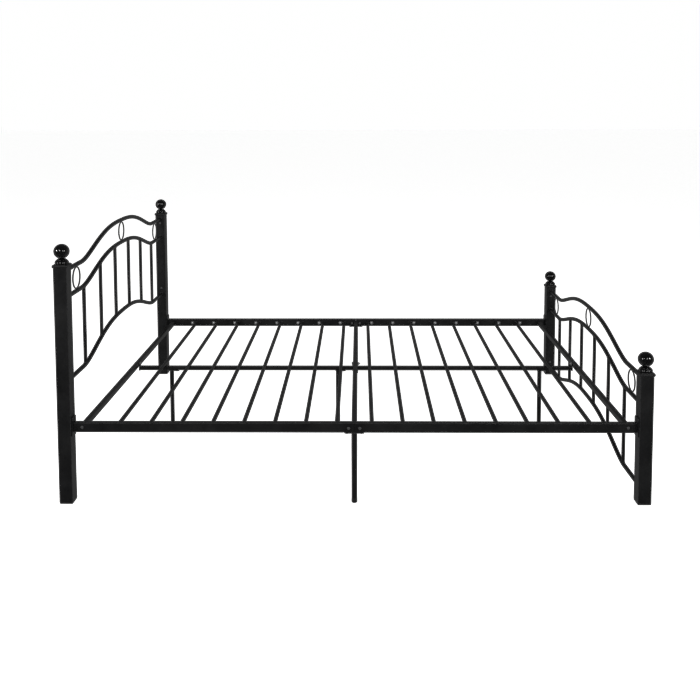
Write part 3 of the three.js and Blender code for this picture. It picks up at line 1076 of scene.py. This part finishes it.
@dataclass
class SideRail:
    """One side of the bed: two half rails with hook plates, the bracket and leg at their joint."""

    side: Side
    corner: float = 0.0022
    end_edge: float = 0.0004
    tube_width: float = 0.02
    tube_top: float = 0.297
    tube_low: float = 0.262
    plate: tuple[float, float, float] = (0.004, 0.04, 0.07)
    plate_corner: float = 0.005
    leg_radius: float = 0.0095
    bracket_low: float = 0.2587
    bracket_thick: float = 0.003
    bracket_corner: float = 0.0008
    bracket_edge: float = 0.0006
    bracket_bolt_place: float = 0.026
    bracket_bolt_radius: float = 0.006
    nut_seat: float = 0.0033
    bar_bolt_place: float = 0.984
    joint_bolt_place: float = 0.0205
    bolt_height: float = 0.2805
    joint_bolt_height: float = 0.2775

    def build(self) -> None:
        """Makes and dresses every piece of the side."""
        low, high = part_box(f"side_rail_head_{self.side.word}")
        self.y = (low.y + high.y) / 2
        for end in End:
            self.half(end)
        self.leg()
        self.bolts()

    def half(self, end: End) -> None:
        """One half rail: the tube, and the hook plate welded across its end at the post.

        Args:
            end: The end of the bed that it reaches.
        """
        node = f"side_rail_{end.word}_{self.side.word}"
        low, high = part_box(node)
        thick, width, height = self.plate
        depth = self.tube_top - self.tube_low
        middle = (self.tube_top + self.tube_low) / 2
        length = high.x - low.x - thick
        start = low.x + thick if end is End.HEAD else low.x
        tube = square_bar(self.tube_width, depth, self.corner, length, self.end_edge, Run.ALONG,
                          (start, self.y, middle))
        plate_start = low.x if end is End.HEAD else high.x - thick
        plate = square_bar(width, height, self.plate_corner, thick, 0.0007, Run.ALONG,
                           (plate_start, self.y, (low.z + high.z) / 2))
        piece(f"rail_tube_{end.word}_{self.side.word}", [tube], COAT, node)
        piece(f"hook_plate_{end.word}_{self.side.word}", [plate], COAT)

    def leg(self) -> None:
        """The leg under the joint, its bracket and its foot cap."""
        node = f"side_leg_{self.side.word}"
        low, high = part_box(node)
        x = (low.x + high.x) / 2
        radius, under, thick = self.leg_radius, self.bracket_low, self.bracket_thick
        corner, edge = self.bracket_corner, self.bracket_edge
        flange = square_bar(high.y - low.y, thick, corner, high.x - low.x, edge, Run.ALONG,
                            (low.x, (low.y + high.y) / 2, under + thick / 2))
        wall_y = high.y - thick / 2 if self.side is Side.RIGHT else low.y + thick / 2
        wall = square_bar(thick, high.z - under, corner, high.x - low.x, edge, Run.ALONG,
                          (low.x, wall_y, (under + high.z) / 2))
        profile = np.array([[radius - 0.0006, 0.004], [radius, 0.0045], [radius, 0.03], [radius, 0.2],
                            [radius, under + 0.0005]])
        tube = turned(profile, 28, Run.UP, (x, self.y, 0))
        bead = WeldBead(radius=0.0018).round_end((x, self.y, under), radius, Run.UP, -1)
        piece(f"prop_leg_{self.side.word}", [tube, bead], COAT, node)
        piece(f"joint_bracket_{self.side.word}", [flange, wall], COAT)
        piece(f"prop_foot_{self.side.word}", [foot_cap(x, self.y, radius)], PLASTIC)

    def bolts(self) -> None:
        """The bolts through the rail, with nuts on its inner face at the joint, and those under it."""
        outward = self.side.value
        outer = self.y + outward * self.tube_width / 2
        inner = self.y - outward * (self.tube_width / 2 + self.nut_seat)
        far, near = self.bar_bolt_place, self.joint_bolt_place
        high, low = self.bolt_height, self.joint_bolt_height
        heads = [ButtonBolt().shell((x, outer, z), Run.ACROSS, outward)
                 for x, z in ((-far, high), (-near, low), (near, low), (far, high))]
        piece(f"rail_bolts_{self.side.word}", heads, DULL_ZINC)
        nuts = [shell for x in (-near, near)
                for shell in HexNut().shells((x, inner, low), Run.ACROSS, -outward)]
        piece(f"joint_nuts_{self.side.word}", nuts, DULL_ZINC)
        under = [ButtonBolt(radius=self.bracket_bolt_radius).shell((x, self.y, self.bracket_low), Run.UP, -1)
                 for x in (-self.bracket_bolt_place, self.bracket_bolt_place)]
        piece(f"bracket_bolts_{self.side.word}", under, COAT)


def foot_cap(x: float, y: float, radius: float) -> Shell:
    """A moulded cap on the foot of a round leg.

    Its profile rolls under at the floor, runs straight, and steps in to the leg at its top.

    Args:
        x: Place of the leg along the bed.
        y: Place of the leg across the bed.
        radius: Radius of the leg.

    Returns:
        The closed cap.
    """
    out = radius + 0.0002
    t = np.linspace(0, np.pi / 2, 5)
    roll = np.stack([out - 0.002 * (1 - np.sin(t)), 0.002 * (1 - np.cos(t))], -1)
    step = [[out, 0.0145], [out - 0.0003, 0.0151], [radius - 0.001, 0.0153]]
    profile = np.vstack([[out - 0.004, 0], roll, step])
    return turned(profile, 28, Run.UP, (x, y, 0))


# ---- The deck --------------------------------------------------------------------------------------


@dataclass
class SlatDeck:
    """The cross bars and the round slats with their end tabs and screws."""

    slats_per_half: int = 8
    slat_sides: int = 20
    slat_radius: float = 0.007
    slat_height: float = 0.2773
    bar_corner: float = 0.0018
    bar_edge: float = 0.0004
    screw_offset: float = 0.020
    screw_height: float = 0.2795
    tab_thick: float = 0.003
    tab_low: float = 0.2703
    tab_high: float = 0.289
    tab_inward: float = 0.011
    tab_outward: float = 0.030

    def build(self) -> None:
        """Makes and dresses every bar and slat."""
        for word in ("head", "centre", "foot"):
            self.bar(word)
        for end in End:
            for number in range(1, self.slats_per_half + 1):
                self.slat(end, number)

    def bar(self, word: str) -> None:
        """One square cross bar.

        Args:
            word: Which bar it is: head, centre or foot.
        """
        node = f"cross_bar_{word}"
        low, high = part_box(node)
        side = high.x - low.x
        bar = square_bar(high.z - low.z, side, self.bar_corner, high.y - low.y, self.bar_edge, Run.ACROSS,
                         ((low.x + high.x) / 2, low.y, (low.z + high.z) / 2))
        piece(f"bar_tube_{word}", [bar], COAT, node)

    def slat(self, end: End, number: int) -> None:
        """One round slat, its two end tabs, the welds between them, and its screws.

        Args:
            end: The half of the bed that it lies in.
            number: Its number, counted from the middle of the bed.
        """
        tag = f"{end.word}_{number:02d}"
        low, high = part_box(f"slat_{tag}")
        outward = end.value
        x = low.x + self.tab_inward if outward > 0 else high.x - self.tab_inward
        z, radius = self.slat_height, self.slat_radius
        reach = high.y - self.tab_thick
        profile = np.array([[radius, -reach], [radius, -0.5 * reach], [radius, 0], [radius, 0.5 * reach],
                            [radius, reach]])
        rod = turned(profile, self.slat_sides, Run.ACROSS, (x, 0, z))
        bead = WeldBead(radius=0.0014)
        shells = [rod]
        screws = []
        for side in Side:
            face = side.value * reach
            start = face if side is Side.LEFT else face - self.tab_thick
            middle = x + outward * (self.tab_outward - self.tab_inward) / 2
            shells.append(square_bar(self.tab_high - self.tab_low, self.tab_outward + self.tab_inward, 0.004,
                                     self.tab_thick, 0.0006, Run.ACROSS,
                                     (middle, start, (self.tab_high + self.tab_low) / 2)))
            shells.append(bead.round_end((x, face, z), radius, Run.ACROSS, -side.value))
            screws.append(PanScrew().shell((x + outward * self.screw_offset, face, self.screw_height),
                                           Run.ACROSS, -side.value))
        piece(f"slat_rod_{tag}", shells, COAT, f"slat_{tag}")
        piece(f"slat_screws_{tag}", screws, ZINC)


# ---- The middle support ----------------------------------------------------------------------------


@dataclass
class MiddleSupport:
    """The square rail under the slats, its upright end plates, its bolts and its three legs."""

    rail_side: float = 0.016
    rail_top: float = 0.270
    rail_corner: float = 0.0016
    plate_thick: float = 0.003
    plate_width: float = 0.022
    plate_low: float = 0.252
    plate_high: float = 0.288
    leg_radius: float = 0.008
    leg_back: float = 0.010
    leg_plate_thick: float = 0.003
    leg_bolt_offset: float = 0.024
    bar_place: float = 0.984
    bar_half: float = 0.009
    through_bolt_height: float = 0.2825

    def build(self) -> None:
        """Makes and dresses every piece of the support."""
        for end in End:
            self.half(end)
        for word in ("head", "centre", "foot"):
            self.leg(word)
        self.bolts()

    def half(self, end: End) -> None:
        """One half of the middle rail with a plate across each of its ends.

        Args:
            end: The half of the bed that it lies in.
        """
        node = f"middle_rail_{end.word}"
        low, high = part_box(node)
        side, thick = self.rail_side, self.plate_thick
        tube = square_bar(side, side, self.rail_corner, high.x - low.x - 2 * thick, 0.0003, Run.ALONG,
                          (low.x + thick, 0, self.rail_top - side / 2))
        plates = [square_bar(self.plate_width, self.plate_high - self.plate_low, 0.003, thick, 0.0006,
                             Run.ALONG, (start, 0, (self.plate_high + self.plate_low) / 2))
                  for start in (low.x, high.x - thick)]
        piece(f"keel_tube_{end.word}", [tube, *plates], COAT, node)

    def leg(self, word: str) -> None:
        """One round leg with its top plate, weld and foot cap.

        Args:
            word: Which leg it is: head, centre or foot.
        """
        node = f"middle_leg_{word}"
        low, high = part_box(node)
        x = low.x + self.leg_back
        thick = self.leg_plate_thick
        plate_low = high.z - thick
        plate = square_bar(high.y - low.y, thick, 0.0009, high.x - low.x, 0.0006, Run.ALONG,
                           (low.x, 0, plate_low + thick / 2))
        profile = np.array([[self.leg_radius - 0.0006, 0.004], [self.leg_radius, 0.0045],
                            [self.leg_radius, 0.1], [self.leg_radius, plate_low + 0.0005]])
        tube = turned(profile, 28, Run.UP, (x, 0, 0))
        bead = WeldBead(radius=0.0016).round_end((x, 0, plate_low), self.leg_radius, Run.UP, -1)
        piece(f"keel_leg_{word}", [tube, plate, bead], COAT, node)
        piece(f"keel_foot_{word}", [foot_cap(x, 0, self.leg_radius)], PLASTIC)
        bolt = ButtonBolt(radius=0.0055).shell((x + self.leg_bolt_offset, 0, plate_low), Run.UP, -1)
        piece(f"keel_leg_bolt_{word}", [bolt], ZINC)

    def bolts(self) -> None:
        """The bolts that hold the upright plates to the cross bars."""
        low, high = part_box("middle_rail_foot")
        face = low.x + self.plate_thick
        z = self.through_bolt_height
        long_nut = HexNut(thread_proud=0.006)
        shells = [ButtonBolt().shell((-face, 0, z), Run.ALONG, -1),
                  *long_nut.shells((face, 0, z), Run.ALONG, 1)]
        outer = high.x - self.plate_thick
        bar_face = self.bar_place + self.bar_half
        for end in End:
            shells += HexNut().shells((end.value * outer, 0, z), Run.ALONG, -end.value)
            shells.append(ButtonBolt().shell((end.value * bar_face, 0, z), Run.ALONG, end.value))
        piece("keel_bolts", shells, ZINC)


# ---- The studio ------------------------------------------------------------------------------------


@dataclass(frozen=True)
class SoftBox:
    """A rectangular soft light: where it hangs, how big it is, how strong, and what it faces."""

    name: str
    place: tuple[float, float, float]
    size: tuple[float, float]
    power: float
    target: tuple[float, float, float] = (0.0, 0.0, 0.4)

    def hang(self) -> None:
        """Hangs the light and turns it to its target."""
        light = bpy.data.lights.new(self.name, "AREA")
        light.shape = "RECTANGLE"
        light.size, light.size_y = self.size
        light.energy = self.power
        made = bpy.data.objects.new(self.name, light)
        made.visible_camera = False
        aim = Vector(self.target) - Vector(self.place)
        made.matrix_world = Matrix.Translation(self.place) @ aim.to_track_quat("-Z", "Y").to_matrix().to_4x4()
        bpy.context.scene.collection.objects.link(made)


@dataclass
class Studio:
    """A pale floor, a pale surround, soft lights and the camera."""

    floor_half: float = 60.0
    floor_shade: Colour = (0.45, 0.45, 0.45)
    floor_glow: float = 0.87
    surround: Colour = (1.0, 1.0, 1.0)
    front_glow: float = 0.03
    back_glow: float = 0.34
    overhead_share: float = 0.2
    skylight: float = 0.7
    skylight_spread: float = radians(75)
    tone_points: tuple[tuple[float, float], ...] = (
        (0.04, 0.036), (0.25, 0.085), (0.5, 0.235), (0.8, 0.63))
    lens: float = 44.42
    camera_place: tuple[float, float, float] = (0.0192, -3.8180, 1.4190)
    pitch: float = radians(4.4)
    yaw: float = radians(0.613)
    roll: float = radians(-0.135)
    shift: float = -0.247
    lights: tuple[SoftBox, ...] = (
        SoftBox("front_left", (-6.8, -3.9, 2.3), (1.2, 1.2), 240.0),
        SoftBox("front_centre_left", (-1.6, -4.1, 2.3), (0.65, 0.65), 34.0),
        SoftBox("front_centre_right", (1.5, -4.6, 2.3), (0.65, 0.65), 36.0),
        SoftBox("front_right", (4.5, -3.9, 2.3), (1.1, 1.1), 130.0),
    )

    def build(self) -> None:
        """Sets up the whole studio."""
        self.floor()
        self.air()
        self.sky()
        for light in self.lights:
            light.hang()
        self.camera()
        self.grade()

    def grade(self) -> None:
        """Darkens the middle tones by one smooth curve, which keeps thin dark bars from looking thinner."""
        view = bpy.context.scene.view_settings
        view.view_transform = "Standard"
        view.use_curve_mapping = True
        curve = view.curve_mapping.curves[3]
        for place in self.tone_points:
            curve.points.new(*place)
        view.curve_mapping.update()

    def floor(self) -> None:
        """A wide pale floor that glows a little and stays out of reflections."""
        half = self.floor_half
        mesh = bpy.data.meshes.new("studio_floor")
        corners = [(-half, -half, 0), (half, -half, 0), (half, half, 0), (-half, half, 0)]
        mesh.from_pydata(corners, [], [(0, 1, 2, 3)])
        made = bpy.data.objects.new("studio_floor", mesh)
        bpy.context.scene.collection.objects.link(made)
        graph = Graph("pale_floor")
        tone = graph.blend(graph.noise(0.7, 3.0), self.floor_shade, tuple(0.98 * c for c in self.floor_shade))
        graph.link(tone, graph.shader.inputs["Base Color"])
        graph.shader.inputs["Roughness"].default_value = 0.8
        graph.shader.inputs["Specular IOR Level"].default_value = 0.1
        graph.shader.inputs["Emission Color"].default_value = (1, 1, 1, 1)
        graph.shader.inputs["Emission Strength"].default_value = self.floor_glow
        mesh.materials.append(graph.material)
        made.visible_glossy = False

    def air(self) -> None:
        """The surround: pale to the eye, and as light on the bed dim in front and brighter behind.

        The light on the bed is the front glow plus the back glow times two shares: one rises with the
        part of the ray's direction that points to +Y, and the other falls with the part that points up.
        """
        world = bpy.data.worlds.new("studio_air")
        bpy.context.scene.world = world
        world.use_nodes = True
        tree = world.node_tree
        tree.nodes.clear()
        out = tree.nodes.new("ShaderNodeOutputWorld")
        mix = tree.nodes.new("ShaderNodeMixShader")
        seen = tree.nodes.new("ShaderNodeBackground")
        cast = tree.nodes.new("ShaderNodeBackground")
        path = tree.nodes.new("ShaderNodeLightPath")
        place = tree.nodes.new("ShaderNodeTexCoord")
        split = tree.nodes.new("ShaderNodeSeparateXYZ")
        back = tree.nodes.new("ShaderNodeMapRange")
        drop = tree.nodes.new("ShaderNodeMapRange")
        total = tree.nodes.new("ShaderNodeMath")
        seen.inputs["Color"].default_value = (*self.surround, 1)
        for node, (start, stop, low, high) in ((back, (-0.4, 1.0, 0.0, self.back_glow)),
                                               (drop, (-0.1, 0.5, 1.0, self.overhead_share))):
            for key, value in zip(("From Min", "From Max", "To Min", "To Max"), (start, stop, low, high)):
                node.inputs[key].default_value = value
        total.operation = "MULTIPLY_ADD"
        total.inputs[2].default_value = self.front_glow
        links = tree.links
        links.new(place.outputs["Generated"], split.inputs[0])
        links.new(split.outputs["Y"], back.inputs["Value"])
        links.new(split.outputs["Z"], drop.inputs["Value"])
        links.new(back.outputs["Result"], total.inputs[0])
        links.new(drop.outputs["Result"], total.inputs[1])
        links.new(total.outputs[0], cast.inputs["Strength"])
        links.new(path.outputs["Is Camera Ray"], mix.inputs[0])
        links.new(cast.outputs[0], mix.inputs[1])
        links.new(seen.outputs[0], mix.inputs[2])
        links.new(mix.outputs[0], out.inputs[0])

    def sky(self) -> None:
        """A very broad light straight overhead, which models the floor and stays out of reflections."""
        light = bpy.data.lights.new("skylight", "SUN")
        light.energy = self.skylight
        light.angle = self.skylight_spread
        made = bpy.data.objects.new("skylight", light)
        made.visible_glossy = False
        bpy.context.scene.collection.objects.link(made)

    def camera(self) -> None:
        """The camera: turned by its yaw, tipped down by its pitch, and shifted to frame the bed."""
        data = bpy.data.cameras.new("studio_camera")
        data.sensor_fit = "HORIZONTAL"
        data.sensor_width = 36.0
        data.lens = self.lens
        data.shift_y = self.shift
        data.clip_end = 200.0
        made = bpy.data.objects.new("studio_camera", data)
        made.matrix_world = (Matrix.Translation(self.camera_place) @ Matrix.Rotation(self.yaw, 4, "Z")
                             @ Matrix.Rotation(np.pi / 2 - self.pitch, 4, "X")
                             @ Matrix.Rotation(self.roll, 4, "Z"))
        bpy.context.scene.collection.objects.link(made)
        bpy.context.scene.camera = made


def main() -> None:
    """Loads the frame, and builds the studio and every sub-assembly."""
    logging.basicConfig(level=logging.INFO, format="%(name)s: %(message)s")
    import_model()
    Studio().build()
    for end in End:
        for side in Side:
            CornerPost(end, side).build()
        ArchedPanel(end).build()
    for side in Side:
        SideRail(side).build()
    SlatDeck().build()
    MiddleSupport().build()


if __name__ == "__main__":
    main()
